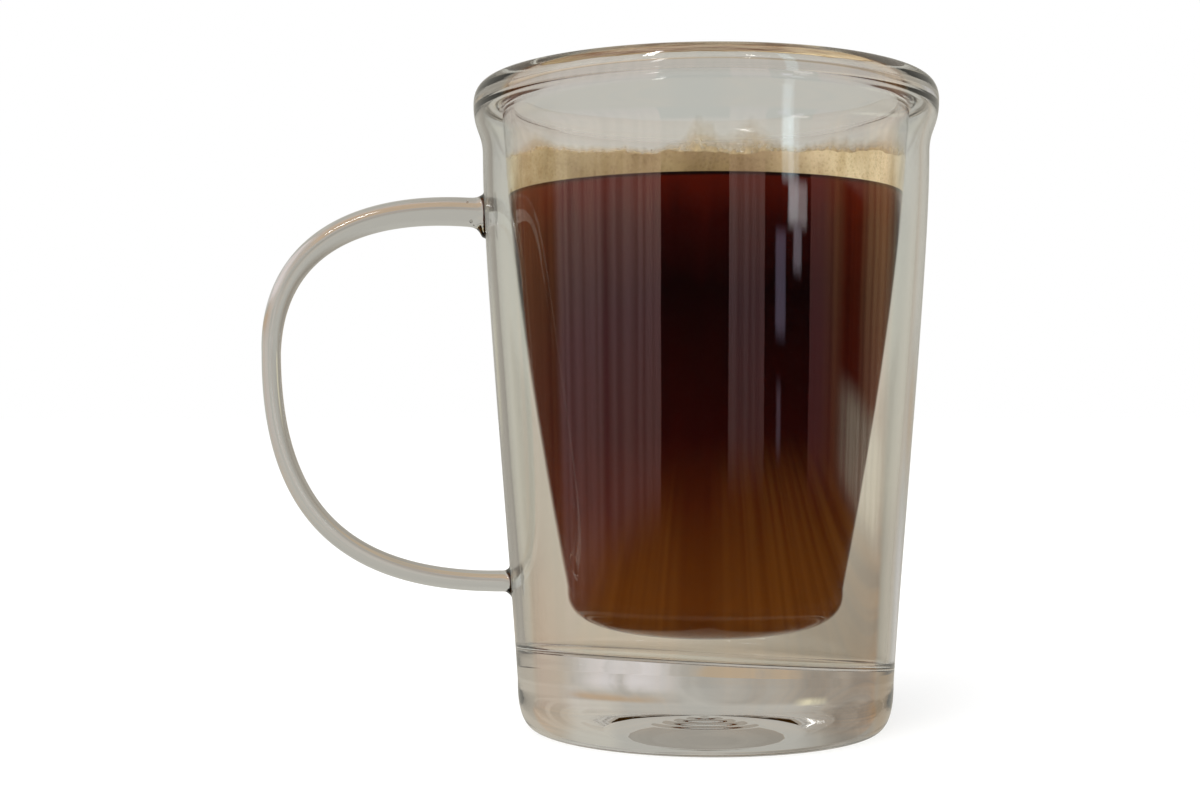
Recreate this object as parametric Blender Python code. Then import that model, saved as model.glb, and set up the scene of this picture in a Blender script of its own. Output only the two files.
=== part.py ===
"""A double-walled glass mug of black coffee with a thin, ragged crema.

The mug is one piece of glass: an inner vessel hung from a thick fused lip inside a tapering
outer wall, a solid foot below, and a flattened rod handle at -X. Coffee and crema fill the
inner vessel. Everything is built round the mug's own axis and then carried by one empty.
"""

import math
import random

import bmesh
import bpy
from mathutils import Matrix
from mathutils.geometry import interpolate_bezier

# Turning and clearances, in metres
TURN_STEPS = 48
WALL = 0.0018
BOTTOM_WALL = 0.0020
GAP = 0.0003
SAME_POINT = 0.000001

# Lip: an oval bead where the two walls are fused
LIP_RADIUS = 0.0452
LIP_CREST_RADIUS = 0.0420
LIP_HEIGHT = 0.1250
LIP_BASE = 0.1210
LIP_ROUNDNESS = 2.25
LIP_STEPS = 5

# Outer wall, from the lip's flare down to the foot
WAIST_RADIUS = 0.04335
FLARE_START = 0.1110
FLARE_STEPS = 4
WAIST_PULL = (0.0, -0.0200)
FOOT_PULL = (0.0023, 0.0350)
WALL_STEPS = 7
FOOT_TOP_RADIUS = 0.0366
FOOT_TOP = 0.0095
FOOT_ROUNDNESS = 2.0
FOOT_CORNER_STEPS = 5

# Solid foot: a flat ring to stand on, round a shallow dome with a small punt in its middle
RING_OUTER_RADIUS = 0.0325
RING_INNER_RADIUS = 0.0275
DOME_HEIGHT = 0.0012
DOME_STEPS = 8
PUNT_RADIUS = 0.0125
PUNT_HEIGHT = 0.0026
FOOT_FLOOR = 0.0130
FILLET_SHARE = 0.3
VENT_RADIUS = 0.0015

# Inner vessel's outer face
VESSEL_BOTTOM = 0.0180
VESSEL_SHOULDER_RADIUS = 0.0270
VESSEL_SHOULDER = 0.0275
VESSEL_ROUNDNESS = 3.0
VESSEL_LOW_PULL = (0.0059, 0.0310)
VESSEL_HIGH_PULL = (-0.0012, -0.0310)
VESSEL_TOP_RADIUS = 0.0395
VESSEL_BOTTOM_STEPS = 6
VESSEL_WALL_STEPS = 7
GAP_TOP = 0.1195
GAP_TOP_STEPS = 4

# Handle: a flattened rod in the plane through the axis
HANDLE_REACH = 0.0868
HANDLE_TOP_ROOT = (-0.0423, 0.1002)
HANDLE_TOP_PULL = (-0.0277, 0.0030)
HANDLE_BOTTOM_ROOT = (-0.0376, 0.0283)
HANDLE_BOTTOM_PULL = (-0.0340, -0.0010)
HANDLE_BEND_HEIGHT = 0.0730
HANDLE_BEND_PULLS = ((0.0, 0.0195), (0.0, -0.0300))
HANDLE_WIDTH = 0.0065
HANDLE_TOP_THICKNESS = 0.0062
HANDLE_THIN = 0.0036
HANDLE_BOTTOM_THICKNESS = 0.0042
HANDLE_TAPER_POWER = 0.8
HANDLE_SIDES = 12
HANDLE_STEPS = 15
TOP_FLARE = (0.0052, 0.0024)
BOTTOM_FLARE = (0.0022, 0.0008)
FLARE_FADE = 0.0022

# Contents
COFFEE_LEVEL = 0.1034
CREMA_MIDDLE = 0.0021
CREMA_FRONT = 0.0030
CREMA_SIDE_RISE = 0.0036
CREMA_SIDE_POWER = 1.5
CREMA_FADE = 0.0035
CREMA_RINGS = (0.16, 0.34, 0.52, 0.68, 0.82, 0.92)
CREMA_RAGGED = ((3, 0.00025), (5, 0.00030), (9, 0.00030), (14, 0.00020))
CREMA_LUMPS = 0.0003
CREMA_LUMP_COUNT = 5
CREMA_LUMP_SPIRAL = 0.0040
CREMA_LUMP_REACH = 0.0055
CREMA_SEED = 11

# Colours and shine
GLASS_COLOUR = (0.90, 0.89, 0.85)
GLASS_ROUGHNESS = 0.04
GLASS_IOR = 1.47
COFFEE_COLOUR = (0.030, 0.006, 0.002)
COFFEE_ROUGHNESS = 0.06
COFFEE_IOR = 1.34
CREMA_COLOUR = (0.40, 0.27, 0.13)
CREMA_ROUGHNESS = 0.65
SHARP_ANGLE = math.radians(50)

# The middle of the whole length, lip to handle, lies over the origin
AXIS_X = (HANDLE_REACH - LIP_RADIUS) / 2


def clear_scene():
    for item in list(bpy.data.objects):
        bpy.data.objects.remove(item, do_unlink=True)


def curve(start, start_pull, end_pull, end, steps):
    """Points along a cubic curve between two (radius, height) points, pulled away from each end."""
    near_start = (start[0] + start_pull[0], start[1] + start_pull[1])
    near_end = (end[0] + end_pull[0], end[1] + end_pull[1])
    corners = [(*point, 0) for point in (start, near_start, near_end, end)]
    return [(point.x, point.y) for point in interpolate_bezier(*corners, steps + 1)]


def oval_corner(centre, across, up, roundness, steps):
    """A quarter of a rounded oval, from its side point to its top or bottom point."""
    points = []
    for step in range(steps + 1):
        turn = math.pi / 2 * step / steps
        side = max(math.cos(turn), 0) ** (2 / roundness)
        rise = math.sin(turn) ** (2 / roundness)
        points.append((centre[0] + across * side, centre[1] + up * rise))
    return points


def moved_inward(points, distance):
    """The outline moved to the left of its run by a distance, with points on the axis kept there."""
    moved = []
    for index, (radius, height) in enumerate(points):
        before = points[max(index - 1, 0)]
        after = points[min(index + 1, len(points) - 1)]
        run = math.hypot(after[0] - before[0], after[1] - before[1])
        across = (before[1] - after[1]) / run
        up = (after[0] - before[0]) / run
        if radius < SAME_POINT:
            moved.append((0.0, height + distance))
        else:
            moved.append((radius + across * distance, height + up * distance))
    return moved


def radius_at(points, height):
    """The radius of a rising outline at a height."""
    for low, high in zip(points, points[1:]):
        if low[1] <= height <= high[1]:
            share = (height - low[1]) / (high[1] - low[1])
            return low[0] + share * (high[0] - low[0])
    return points[-1][0]


def vessel_outer_face():
    """The inner vessel's outer face, from the middle of its bottom up to the lip."""
    depth = VESSEL_BOTTOM - VESSEL_SHOULDER
    corner = oval_corner(
        (0, VESSEL_SHOULDER), VESSEL_SHOULDER_RADIUS, depth, VESSEL_ROUNDNESS, VESSEL_BOTTOM_STEPS
    )
    shoulder = (VESSEL_SHOULDER_RADIUS, VESSEL_SHOULDER)
    top = (VESSEL_TOP_RADIUS, LIP_BASE)
    wall = curve(shoulder, VESSEL_LOW_PULL, VESSEL_HIGH_PULL, top, VESSEL_WALL_STEPS)
    return list(reversed(corner))[:-1] + wall


def vessel_inside_face():
    face = moved_inward(vessel_outer_face(), WALL)
    return [(0.0, VESSEL_BOTTOM + BOTTOM_WALL)] + face[1:]


def outer_wall():
    """The outside of the mug, from the lip's widest place down to the top of the foot's corner."""
    flare_half = (LIP_BASE - FLARE_START) / 2
    waist = (WAIST_RADIUS, FLARE_START)
    flare = curve((LIP_RADIUS, LIP_BASE), (0, -flare_half), (0, flare_half), waist, FLARE_STEPS)
    wall = curve(waist, WAIST_PULL, FOOT_PULL, (FOOT_TOP_RADIUS, FOOT_TOP), WALL_STEPS)
    return flare[:-1] + wall


def lip():
    """Over the lip, from the vessel's inside face to the outer wall."""
    crest = (LIP_CREST_RADIUS, LIP_BASE)
    rise = LIP_HEIGHT - LIP_BASE
    inside_radius = vessel_inside_face()[-1][0]
    inner = oval_corner(crest, inside_radius - LIP_CREST_RADIUS, rise, LIP_ROUNDNESS, LIP_STEPS)
    outer = oval_corner(crest, LIP_RADIUS - LIP_CREST_RADIUS, rise, LIP_ROUNDNESS, LIP_STEPS)
    return inner[1:] + list(reversed(outer))[1:-1]


def foot_underside():
    """Round the foot's corner, over the flat ring and up the dome and punt to the vent."""
    across = FOOT_TOP_RADIUS - RING_OUTER_RADIUS
    centre = (RING_OUTER_RADIUS, FOOT_TOP)
    corner = oval_corner(centre, across, -FOOT_TOP, FOOT_ROUNDNESS, FOOT_CORNER_STEPS)
    dome = []
    for step in range(DOME_STEPS + 1):
        radius = RING_INNER_RADIUS + (VENT_RADIUS - RING_INNER_RADIUS) * step / DOME_STEPS
        height = DOME_HEIGHT * (1 - (radius / RING_INNER_RADIUS) ** 2)
        if radius < PUNT_RADIUS:
            height += PUNT_HEIGHT / 2 * (1 + math.cos(math.pi * radius / PUNT_RADIUS))
        dome.append((radius, height))
    return corner[1:] + dome


def gap_between_walls():
    """From the vent over the foot's floor, up inside the outer wall and down the vessel's outside."""
    inner_face = moved_inward(list(reversed(outer_wall())), WALL)
    rising = [point for point in inner_face if FOOT_FLOOR + WALL < point[1] < GAP_TOP]
    floor_edge = radius_at(inner_face, FOOT_FLOOR)
    vessel = [point for point in vessel_outer_face() if point[1] < GAP_TOP]
    vessel_edge = radius_at(vessel_outer_face(), GAP_TOP)
    wall_edge = rising[-1][0]
    middle = (wall_edge + vessel_edge) / 2
    half = (wall_edge - vessel_edge) / 2
    top = []
    for step in range(GAP_TOP_STEPS + 1):
        turn = math.pi * step / GAP_TOP_STEPS
        rise = (LIP_BASE - GAP_TOP) * math.sin(turn)
        top.append((middle + half * math.cos(turn), GAP_TOP + rise))
    floor = [(VENT_RADIUS, FOOT_FLOOR), (floor_edge - WALL, FOOT_FLOOR)]
    fillet = [(floor_edge - FILLET_SHARE * WALL, FOOT_FLOOR + FILLET_SHARE * WALL)]
    return floor + fillet + rising + top + list(reversed(vessel))


def turned_mesh(outline):
    """A bmesh turned all the way round the axis from (radius, height) points."""
    shape = bmesh.new()
    vertices = [shape.verts.new((radius, 0, height)) for radius, height in outline]
    for first, second in zip(vertices, vertices[1:]):
        shape.edges.new((first, second))
    bmesh.ops.spin(
        shape,
        geom=shape.verts[:] + shape.edges[:],
        cent=(0, 0, 0),
        axis=(0, 0, 1),
        angle=2 * math.pi,
        steps=TURN_STEPS,
        use_merge=True,
    )
    bmesh.ops.remove_doubles(shape, verts=shape.verts[:], dist=SAME_POINT)
    bmesh.ops.recalc_face_normals(shape, faces=shape.faces[:])
    return shape


def handle_line():
    """The rod's centre line in its own plane, from the top root round to the bottom root."""
    bend = (-(HANDLE_REACH - HANDLE_THIN / 2), HANDLE_BEND_HEIGHT)
    pull_up, pull_down = HANDLE_BEND_PULLS
    upper = curve(HANDLE_TOP_ROOT, HANDLE_TOP_PULL, pull_up, bend, HANDLE_STEPS)
    lower = curve(bend, pull_down, HANDLE_BOTTOM_PULL, HANDLE_BOTTOM_ROOT, HANDLE_STEPS)
    return upper[:-1] + lower


def handle_section(share, point):
    """Thickness and width of the rod, thinnest at the far bend and flared where it meets the wall."""
    if share < 0.5:
        thicker = (HANDLE_TOP_THICKNESS - HANDLE_THIN) * (1 - 2 * share) ** HANDLE_TAPER_POWER
        root, flare = HANDLE_TOP_ROOT, TOP_FLARE
    else:
        thicker = (HANDLE_BOTTOM_THICKNESS - HANDLE_THIN) * (2 * share - 1)
        root, flare = HANDLE_BOTTOM_ROOT, BOTTOM_FLARE
    thickness = HANDLE_THIN + thicker
    fade = math.exp(-math.dist(point, root) / FLARE_FADE)
    return thickness + flare[0] * fade, HANDLE_WIDTH + flare[1] * fade


def handle_mesh():
    """The rod as oval rings joined one to the next along its centre line."""
    shape = bmesh.new()
    line = handle_line()
    rings = []
    for index, point in enumerate(line):
        before = line[max(index - 1, 0)]
        after = line[min(index + 1, len(line) - 1)]
        lean = math.atan2(after[1] - before[1], after[0] - before[0])
        if index in (0, len(line) - 1):
            lean = math.pi if index == 0 else 0
        thickness, width = handle_section(index / (len(line) - 1), point)
        place = Matrix.Translation((point[0], 0, point[1]))
        place @= Matrix.Rotation(math.pi / 2 - lean, 4, "Y")
        place @= Matrix.Diagonal((thickness / 2, width / 2, 1, 1))
        made = bmesh.ops.create_circle(shape, segments=HANDLE_SIDES, radius=1, matrix=place)
        edges = {edge for vertex in made["verts"] for edge in vertex.link_edges}
        rings.append(list(edges))
    for first, second in zip(rings, rings[1:]):
        bmesh.ops.bridge_loops(shape, edges=first + second)
    bmesh.ops.contextual_create(shape, geom=rings[0])
    bmesh.ops.contextual_create(shape, geom=rings[-1])
    bmesh.ops.recalc_face_normals(shape, faces=shape.faces[:])
    return shape


def crema_thickness(angle, radius, edge_radius, waves):
    """Thin in the middle and at the front, climbing the wall at both sides with a ragged edge."""
    side = abs(math.cos(angle)) ** CREMA_SIDE_POWER
    ragged = sum(height * math.sin(count * angle + phase) for count, height, phase in waves)
    at_wall = CREMA_FRONT + CREMA_SIDE_RISE * side + ragged
    spiral = math.sin(CREMA_LUMP_COUNT * angle + radius / CREMA_LUMP_SPIRAL)
    lumps = CREMA_LUMPS * spiral * math.sin(radius / CREMA_LUMP_REACH)
    climb = math.exp(-(edge_radius - radius) / CREMA_FADE)
    return CREMA_MIDDLE + lumps + (at_wall - CREMA_MIDDLE) * climb


def add_object(name, shape, material, carrier):
    mesh = bpy.data.meshes.new(name)
    shape.to_mesh(mesh)
    shape.free()
    mesh.shade_smooth()
    mesh.set_sharp_from_angle(angle=SHARP_ANGLE)
    mesh.materials.append(material)
    item = bpy.data.objects.new(name, mesh)
    item.parent = carrier
    bpy.context.scene.collection.objects.link(item)
    return item


def make_material(name, colour, roughness, ior, see_through=0.0):
    material = bpy.data.materials.new(name)
    material.use_nodes = True
    shader = material.node_tree.nodes["Principled BSDF"]
    shader.inputs["Base Color"].default_value = (*colour, 1)
    shader.inputs["Roughness"].default_value = roughness
    shader.inputs["Metallic"].default_value = 0.0
    shader.inputs["Transmission Weight"].default_value = see_through
    shader.inputs["IOR"].default_value = ior
    material.diffuse_color = (*colour, 1)
    return material


def make_mug(carrier):
    outline = vessel_inside_face() + lip() + outer_wall() + foot_underside() + gap_between_walls()
    glass = make_material("clear_glass", GLASS_COLOUR, GLASS_ROUGHNESS, GLASS_IOR, see_through=1.0)
    mug = add_object("glass_mug", turned_mesh(outline), glass, carrier)
    handle = add_object("handle_rod", handle_mesh(), glass, carrier)
    handle.hide_render = True
    handle.display_type = "WIRE"
    join = mug.modifiers.new("Fused handle", "BOOLEAN")
    join.operation = "UNION"
    join.object = handle
    join.solver = "EXACT"
    return mug


def make_coffee(carrier):
    face = moved_inward(vessel_inside_face(), GAP)
    below = [point for point in face if point[1] < COFFEE_LEVEL - GAP]
    edge = (radius_at(face, COFFEE_LEVEL), COFFEE_LEVEL)
    colour = make_material("black_coffee", COFFEE_COLOUR, COFFEE_ROUGHNESS, COFFEE_IOR)
    return add_object("coffee", turned_mesh(below + [edge, (0, COFFEE_LEVEL)]), colour, carrier)


def make_crema(carrier):
    face = moved_inward(vessel_inside_face(), GAP)
    base = COFFEE_LEVEL + GAP
    edge_radius = radius_at(face, base)
    outline = [(0, base), (edge_radius, base), (edge_radius, base + CREMA_FRONT)]
    outline += [(edge_radius * share, base + CREMA_FRONT) for share in reversed(CREMA_RINGS)]
    shape = turned_mesh(outline + [(0, base + CREMA_FRONT)])
    draw = random.Random(CREMA_SEED)
    waves = [(count, height, draw.uniform(0, 2 * math.pi)) for count, height in CREMA_RAGGED]
    for vertex in shape.verts:
        if vertex.co.z < base + SAME_POINT:
            continue
        radius = math.hypot(vertex.co.x, vertex.co.y)
        angle = math.atan2(vertex.co.y, vertex.co.x)
        vertex.co.z = base + crema_thickness(angle, radius, edge_radius, waves)
        if radius > edge_radius - SAME_POINT:
            spread = radius_at(face, vertex.co.z) / radius
            vertex.co.x *= spread
            vertex.co.y *= spread
    colour = make_material("crema", CREMA_COLOUR, CREMA_ROUGHNESS, COFFEE_IOR)
    return add_object("crema", shape, colour, carrier)


def build():
    clear_scene()
    carrier = bpy.data.objects.new("americano", None)
    carrier.location.x = AXIS_X
    bpy.context.scene.collection.objects.link(carrier)
    make_mug(carrier)
    make_coffee(carrier)
    make_crema(carrier)


build()
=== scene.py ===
"""A clear double-walled glass mug of black coffee with a thin, ragged crema, in a plain studio."""

import math
import random

import bmesh
import bpy
from mathutils import Matrix, Vector, noise
from mathutils.geometry import interpolate_bezier


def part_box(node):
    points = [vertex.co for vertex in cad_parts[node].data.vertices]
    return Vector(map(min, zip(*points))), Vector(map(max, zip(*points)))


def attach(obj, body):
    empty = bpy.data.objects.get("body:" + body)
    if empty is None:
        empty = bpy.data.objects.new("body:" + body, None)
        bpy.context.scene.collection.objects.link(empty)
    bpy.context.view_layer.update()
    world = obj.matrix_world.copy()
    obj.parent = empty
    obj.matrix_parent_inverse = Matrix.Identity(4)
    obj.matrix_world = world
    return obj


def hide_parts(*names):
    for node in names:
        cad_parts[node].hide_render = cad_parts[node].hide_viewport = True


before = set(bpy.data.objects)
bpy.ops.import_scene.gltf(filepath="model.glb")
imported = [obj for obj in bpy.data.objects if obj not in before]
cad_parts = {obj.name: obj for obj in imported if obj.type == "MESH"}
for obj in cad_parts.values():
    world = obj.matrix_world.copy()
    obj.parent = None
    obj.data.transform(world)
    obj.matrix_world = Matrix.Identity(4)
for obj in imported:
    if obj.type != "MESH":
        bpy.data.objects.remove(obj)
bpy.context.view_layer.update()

mug_low, mug_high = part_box("glass_mug")
coffee_low, coffee_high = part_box("coffee")

MM = 0.001
SAME_POINT = 0.002 * MM
INSIDE = 0.01 * MM

# The mug's axis and main sizes, worked out from the imported parts' bounds
LIP_RADIUS = (mug_high.y - mug_low.y) / 2 - INSIDE
AXIS_X = mug_high.x - (mug_high.y - mug_low.y) / 2
LIP_HEIGHT = mug_high.z - INSIDE
HANDLE_REACH = AXIS_X - mug_low.x - 5 * INSIDE
COFFEE_LEVEL = coffee_high.z

# Glass walls
TURN_STEPS = 192
WALL = 1.8 * MM
BOTTOM_WALL = 2.0 * MM
INTO_WALL = 0.12 * MM

# Lip: an oval bead where the two walls are fused
LIP_CREST_RADIUS = LIP_RADIUS - 3.2 * MM
LIP_BASE = LIP_HEIGHT - 4.0 * MM
LIP_ROUNDNESS = 2.25
LIP_STEPS = 18

# Outer wall
WAIST_RADIUS = 43.35 * MM
FLARE_START = 111.0 * MM
FLARE_STEPS = 14
WALL_STEPS = 36
WALL_HIGH_PULL = (0, -20.0 * MM)
WALL_LOW_PULL = (2.3 * MM, 35.0 * MM)
FOOT_TOP_RADIUS = 36.6 * MM
FOOT_TOP = 9.5 * MM
FOOT_CORNER_STEPS = 16

# Solid foot
RING_OUTER_RADIUS = 32.5 * MM
FOOT_ROUNDNESS = 2.5
RING_INNER_RADIUS = 27.5 * MM
DOME_HEIGHT = 3.6 * MM
DOME_STEPS = 110
PUNT_RADIUS = 8.0 * MM
PUNT_HEIGHT = 0.5 * MM
TURNING_MARK_PITCH = 1.7 * MM
TURNING_MARK_HEIGHT = 0.03 * MM
FOOT_FLOOR = 13.0 * MM
FLOOR_FILLET = 1.6 * MM
FILLET_STEPS = 6
FLOOR_STEPS = 8
FLOOR_LEAN = (-0.055, -0.105)
LEAN_FADE_HEIGHT = 32.0 * MM

# Inner vessel's outer face
VESSEL_BOTTOM = 18.0 * MM
VESSEL_SHOULDER_RADIUS = 27.0 * MM
VESSEL_SHOULDER = 27.5 * MM
VESSEL_ROUNDNESS = 3.0
VESSEL_TOP_RADIUS = 39.5 * MM
VESSEL_LOW_PULL = (5.9 * MM, 31.0 * MM)
VESSEL_HIGH_PULL = (-1.2 * MM, -31.0 * MM)
VESSEL_BOTTOM_STEPS = 24
VESSEL_WALL_STEPS = 36
GAP_TOP = 119.5 * MM
GAP_TOP_STEPS = 10

# Handle
HANDLE_TOP_ROOT = (-42.3 * MM, 100.2 * MM)
HANDLE_BOTTOM_ROOT = (-37.6 * MM, 28.3 * MM)
HANDLE_BEND_HEIGHT = 73.0 * MM
HANDLE_TOP_PULL = (-27.7 * MM, 3.0 * MM)
HANDLE_BOTTOM_PULL = (-34.0 * MM, -1.0 * MM)
BEND_PULL_UP = (0, 19.5 * MM)
BEND_PULL_DOWN = (0, -30.0 * MM)
HANDLE_WIDTH = 6.5 * MM
HANDLE_TOP_THICKNESS = 6.2 * MM
HANDLE_THIN = 3.6 * MM
HANDLE_BOTTOM_THICKNESS = 4.2 * MM
HANDLE_SIDES = 40
HANDLE_STEPS = 60
HANDLE_TOP_FILLET = 2.5 * MM
HANDLE_BOTTOM_FILLET = 1.5 * MM
HANDLE_TOP_DEPTH = 0.8 * MM
HANDLE_BOTTOM_DEPTH = 0.3 * MM
FILLET_START = 0.04
ROOT_RINGS = 6

# Crema
CREMA_MIDDLE = 2.1 * MM
CREMA_FRONT = 3.0 * MM
CREMA_SIDE_RISE = 3.6 * MM
CREMA_FADE = 3.5 * MM
CREMA_TURN_STEPS = 960
CREMA_RING_STEPS = 50
CREMA_SEED = 11
# Its unevenness from coarse to fine: size across and height
EDGE_LUMPS = ((9.0 * MM, 0.90 * MM), (2.6 * MM, 0.45 * MM), (0.8 * MM, 0.12 * MM))
TOP_LUMPS = ((5.0 * MM, 0.35 * MM), (1.1 * MM, 0.12 * MM))
LUMP_LAYERS_APART = 30.0 * MM

# Where the rod melts into the wall
JOINT_CREASE = math.radians(9)
JOINT_REACH = 9.0 * MM
JOINT_CUTS = 4
JOINT_RINGS = 2
JOINT_PASSES = 5

# Air bubbles in the rod's top root: place along x, height and radius, in millimetres
ROOT_BUBBLES = ((-46.4, 102.0, 0.22), (-45.6, 98.9, 0.30), (-45.1, 98.0, 0.18))
ROOT_BUBBLE_FORWARD = 1.2 * MM
ROOT_BUBBLE_STRETCH = 1.3

# Foam left on the glass above the crema
FILM_TURN_STEPS = 720
FILM_RISE_STEPS = 20
FILM_THICKNESS = 0.25 * MM
FILM_HEIGHT = 8.0 * MM
FILM_BELOW = 0.8 * MM
FILM_BEHIND = 0.04 * MM
FILM_LEAST = 1.3 * MM
FILM_WAVES = ((30, 0.50 * MM), (90, 0.12 * MM))
FILM_FAR_RISE = 3.0 * MM
# Where the foam once stood higher: photograph column, half width in columns, height
FILM_PATCHES = ((530, 14, 2.2), (701, 17, 5.6), (752, 22, 5.0), (846, 20, 1.6), (898, 18, 4.0))

# Bubbles on the crema and on the glass just above it: smallest radius and how much more the largest has
RIM_BUBBLES = 190
RIM_BUBBLE_RADIUS = (0.07 * MM, 0.17 * MM)
TOP_BUBBLES = 520
TOP_BUBBLE_RADIUS = (0.14 * MM, 0.60 * MM)
TOP_BUBBLE_FLATNESS = 0.75
RAFTS = 14
LARGE_BUBBLE = 0.4 * MM

# The photograph's frame
IMAGE_WIDTH = 1200
IMAGE_HEIGHT = 800
HORIZON_ROW = 418
AXIS_COLUMN = 704.5
CAMERA_DISTANCE = 345 * MM
CAMERA_HEIGHT = 60.2 * MM
PIXELS_PER_MM = 5.10
SENSOR_WIDTH = 36.0

# The studio
STUDIO_WHITE = (1.0, 1.0, 1.0)
SOFT_LIGHT = (1.08, 1.08, 1.08)
FLOOR_REACH = 60.0
FLOOR_COLOUR = (0.97, 0.97, 0.97)
FLOOR_GLOW = 0.06
SOFTBOX_PLACE = (-0.45, -0.55, 0.85)
SOFTBOX_SIZE = 0.6
SOFTBOX_POWER = 4.0

# Upright bands mirrored by the outer wall: photograph column and colour
WALL_TONE = (0.52, 0.50, 0.44)
BROWN = (0.95, 0.33, 0.16)
ROSE = (1.50, 0.82, 0.83)
PLUM = (0.85, 0.32, 0.33)
RUST = (0.55, 0.07, 0.02)
TAN = (1.35, 0.62, 0.34)
MIRRORED_BANDS = (
    (500, WALL_TONE), (511, (0.62, 0.45, 0.33)),
    (524, BROWN), (552, BROWN),
    (560, ROSE), (600, ROSE), (605, PLUM), (612, ROSE), (695, ROSE),
    (700, (1.25, 0.80, 0.84)),
    (812, PLUM), (822, PLUM), (838, (1.10, 0.42, 0.22)),
    (847, RUST), (862, RUST),
    (871, TAN), (888, TAN),
    (899, (0.62, 0.48, 0.38)), (908, WALL_TONE),
)
BANDED_COLUMNS = (512, 898)
# Dark stripes over the bands: first and last column
DARK_STRIPES = ((661, 729), (765, 811))
# Window panes: first and last column, lowest and highest degree, colour
WINDOW_PANES = (
    ((782, 794), 3.2, 40, (2.6, 3.0, 3.2)),
    ((789, 807), 0.4, 3.2, (3.6, 3.3, 3.3)),
    ((794, 802), -2.0, 0.4, (2.2, 2.0, 2.3)),
    ((776, 786), -5.0, -0.2, (1.25, 1.05, 1.5)),
    ((778, 782), -9.5, -7.0, (0.9, 0.7, 0.9)),
)
CURTAIN_COLUMNS = (846, 893)
CURTAIN_DEGREES = (-8.7, -5.4)
CURTAIN_TONE = (2.3, 1.95, 1.45)
# The window above the coffee, mirrored inside the glass, and the lamp on the lip
STREAK_COLUMNS = (783, 793)
STREAK_DEGREES = (0.5, 12)
STREAK_TONE = (2.2, 2.6, 2.8)
GLINT_COLUMNS = (636, 648)
GLINT_DEGREES = (35, 55)
GLINT_TONE = (24.0, 24.0, 24.0)

# Where the table's far edge is mirrored, as a place on the rise from 0 to 1, and its tilt round the mug
TABLE_EDGE = 0.4385
TABLE_TILT = 0.0480
SHADED_TABLE_COLUMNS = (676, 724)

# The room seen through the glass: elevation in degrees and colour
ROOM_ABOVE = ((9, (0.53, 0.54, 0.51)), (60, (0.52, 0.51, 0.48)))
ROOM_ON_LEFT = (
    (-30, (0.46, 0.40, 0.31)),
    (-9, (0.56, 0.49, 0.39)),
    (-3, (0.57, 0.55, 0.46)),
    (4, (0.58, 0.58, 0.51)),
) + ROOM_ABOVE
ROOM_ON_RIGHT = (
    (-9, (0.31, 0.28, 0.22)),
    (-4.6, (0.385, 0.35, 0.285)),
    (-3, (0.52, 0.49, 0.40)),
    (4, (0.57, 0.57, 0.50)),
) + ROOM_ABOVE
BACK_LIP_TONE = (0.54, 0.54, 0.50)
TWICE_MIRRORED_TONE = (0.31, 0.285, 0.245)
UNLIT_TONE = (0.02, 0.01, 0.01)

# Smears gathered by the solid foot: sideways from and to, lowest and highest degree, softness, colour
FOOT_SMEARS = (
    (0.17, 0.46, -20, -4.5, 0.16, (0.66, 0.635, 0.63)),
    (-0.24, 0.10, -20, -6.5, 0.12, (0.46, 0.365, 0.26)),
    (0.20, 0.52, -2.6, 0.4, 0.12, (0.45, 0.35, 0.25)),
    (-0.34, -0.25, -1.2, 2.8, 0.08, (0.80, 0.75, 0.54)),
)


def curve(start, start_pull, end_pull, end, steps):
    """Points along a curve between two (radius, height) points, both included, with a pull on each end."""
    leaving = (start[0] + start_pull[0], start[1] + start_pull[1])
    arriving = (end[0] + end_pull[0], end[1] + end_pull[1])
    corners = [(*point, 0) for point in (start, leaving, arriving, end)]
    return [(point.x, point.y) for point in interpolate_bezier(*corners, steps + 1)]


def oval_corner(centre, across, up, roundness, steps):
    """A quarter of a rounded oval, from its side point to its top or bottom point."""
    points = []
    for step in range(steps + 1):
        turn = math.pi / 2 * step / steps
        side = max(math.cos(turn), 0) ** (2 / roundness)
        rise = math.sin(turn) ** (2 / roundness)
        points.append((centre[0] + across * side, centre[1] + up * rise))
    return points


def moved_inward(points, distance):
    """The outline moved to the left of its run by a distance, with points on the axis kept there."""
    moved = []
    for index, (radius, height) in enumerate(points):
        before = points[max(index - 1, 0)]
        after = points[min(index + 1, len(points) - 1)]
        run = math.hypot(after[0] - before[0], after[1] - before[1])
        across = (before[1] - after[1]) / run
        up = (after[0] - before[0]) / run
        if radius < SAME_POINT:
            moved.append((0.0, height + distance))
        else:
            moved.append((radius + across * distance, height + up * distance))
    return moved


def radius_at(points, height):
    """The radius of a rising outline at a height."""
    for low, high in zip(points, points[1:]):
        if low[1] <= height <= high[1]:
            share = (height - low[1]) / (high[1] - low[1])
            return low[0] + share * (high[0] - low[0])
    return points[-1][0]


def vessel_outer_face():
    """The inner vessel's outer face, from the middle of its bottom up to the lip."""
    depth = VESSEL_BOTTOM - VESSEL_SHOULDER
    middle = (0, VESSEL_SHOULDER)
    shoulder = (VESSEL_SHOULDER_RADIUS, VESSEL_SHOULDER)
    top = (VESSEL_TOP_RADIUS, LIP_BASE)
    corner = oval_corner(middle, VESSEL_SHOULDER_RADIUS, depth, VESSEL_ROUNDNESS, VESSEL_BOTTOM_STEPS)
    wall = curve(shoulder, VESSEL_LOW_PULL, VESSEL_HIGH_PULL, top, VESSEL_WALL_STEPS)
    return list(reversed(corner))[:-1] + wall


def vessel_inside_face():
    """The face that holds the coffee, from the middle of its bottom up to the lip."""
    face = moved_inward(vessel_outer_face(), WALL)
    return [(0.0, VESSEL_BOTTOM + BOTTOM_WALL)] + face[1:]


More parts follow.
